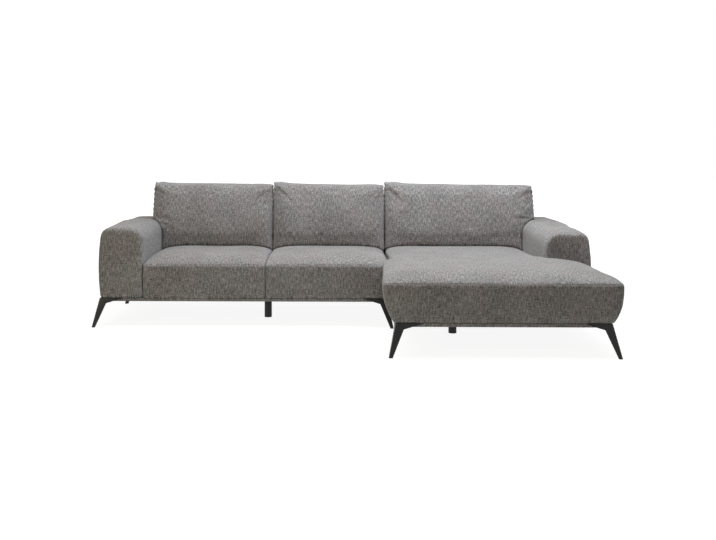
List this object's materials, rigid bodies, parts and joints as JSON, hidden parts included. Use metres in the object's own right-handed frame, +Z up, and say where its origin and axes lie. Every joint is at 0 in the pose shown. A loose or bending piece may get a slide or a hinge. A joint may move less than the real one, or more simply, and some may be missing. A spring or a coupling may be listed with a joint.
{
  "type": "sectional sofa with chaise",
  "caption": "Corner sofa with a left arm, a wide chaise on the right, loose back cushions, crowned seat pads and splayed folded-metal wing legs.",
  "frame": {"origin": "on the floor under the middle of the whole, between its outermost feet and sides", "axes": "+X to the right as seen from the front, along the length; +Y to the rear; +Z up"},
  "size_m": [2.956, 1.6732, 0.828],
  "materials": {
    "weave": "matte",
    "foam": "matte",
    "cushion_filling": "matte",
    "webbing": "matte",
    "dust_cloth": "matte",
    "timber": "matte",
    "leg_metal": "satin",
    "support_plastic": "matte",
    "screw_steel": "satin",
    "link_steel": "satin"
  },
  "bodies": {
    "root": {"chaise_arm_plinth": "weave", "chaise_back": "weave", "chaise_back_frame": "timber", "chaise_border_front": "weave", "chaise_border_left": "weave", "chaise_border_right": "weave", "chaise_cross_rail": "timber", "chaise_dust_cover": "dust_cloth", "chaise_front_plinth": "weave", "chaise_front_rail": "timber", "chaise_left_plinth": "weave", "chaise_left_rail": "timber", "chaise_rear_plinth": "weave", "chaise_rear_rail": "timber", "chaise_right_plinth": "weave", "chaise_right_rail": "timber", "chaise_seat_foam": "foam", "chaise_seat_pad": "weave", "chaise_seat_webbing": "webbing", "left_arm": "weave", "left_arm_frame": "timber", "leg_chaise_front_left": "leg_metal", "leg_chaise_front_right": "leg_metal", "leg_chaise_rear_right": "leg_metal", "leg_sofa_front_left": "leg_metal", "leg_sofa_front_right": "leg_metal", "leg_sofa_rear_left": "leg_metal", "leg_sofa_rear_right": "leg_metal", "module_link_plates": "link_steel", "mounting_screws": "screw_steel", "right_arm": "weave", "right_arm_frame": "timber", "seat_border_left": "weave", "seat_border_middle": "weave", "seat_foam_left": "foam", "seat_foam_middle": "foam", "seat_pad_left": "weave", "seat_pad_middle": "weave", "sofa_back": "weave", "sofa_back_frame": "timber", "sofa_centre_rail": "timber", "sofa_dust_cover": "dust_cloth", "sofa_front_plinth": "weave", "sofa_front_rail": "timber", "sofa_left_plinth": "weave", "sofa_left_rail": "timber", "sofa_rear_plinth": "weave", "sofa_rear_rail": "timber", "sofa_right_plinth": "weave", "sofa_right_rail": "timber", "sofa_seat_webbing": "webbing", "support_chaise_middle": "support_plastic", "support_chaise_rear": "support_plastic", "support_sofa_middle": "support_plastic"},
    "cushion_left": {"back_cushion_left": "weave", "back_cushion_core_left": "cushion_filling"},
    "cushion_middle": {"back_cushion_middle": "weave", "back_cushion_core_middle": "cushion_filling"},
    "cushion_right": {"back_cushion_right": "weave", "back_cushion_core_right": "cushion_filling"}
  },
  "joints": [
    {"name": "lift_cushion_left", "type": "slide", "parent": "root", "child": "cushion_left", "axis": [0, 0, 1], "range_m": [0, 0.25]},
    {"name": "lift_cushion_middle", "type": "slide", "parent": "root", "child": "cushion_middle", "axis": [0, 0, 1], "range_m": [0, 0.25]},
    {"name": "lift_cushion_right", "type": "slide", "parent": "root", "child": "cushion_right", "axis": [0, 0, 1], "range_m": [0, 0.25]}
  ]
}
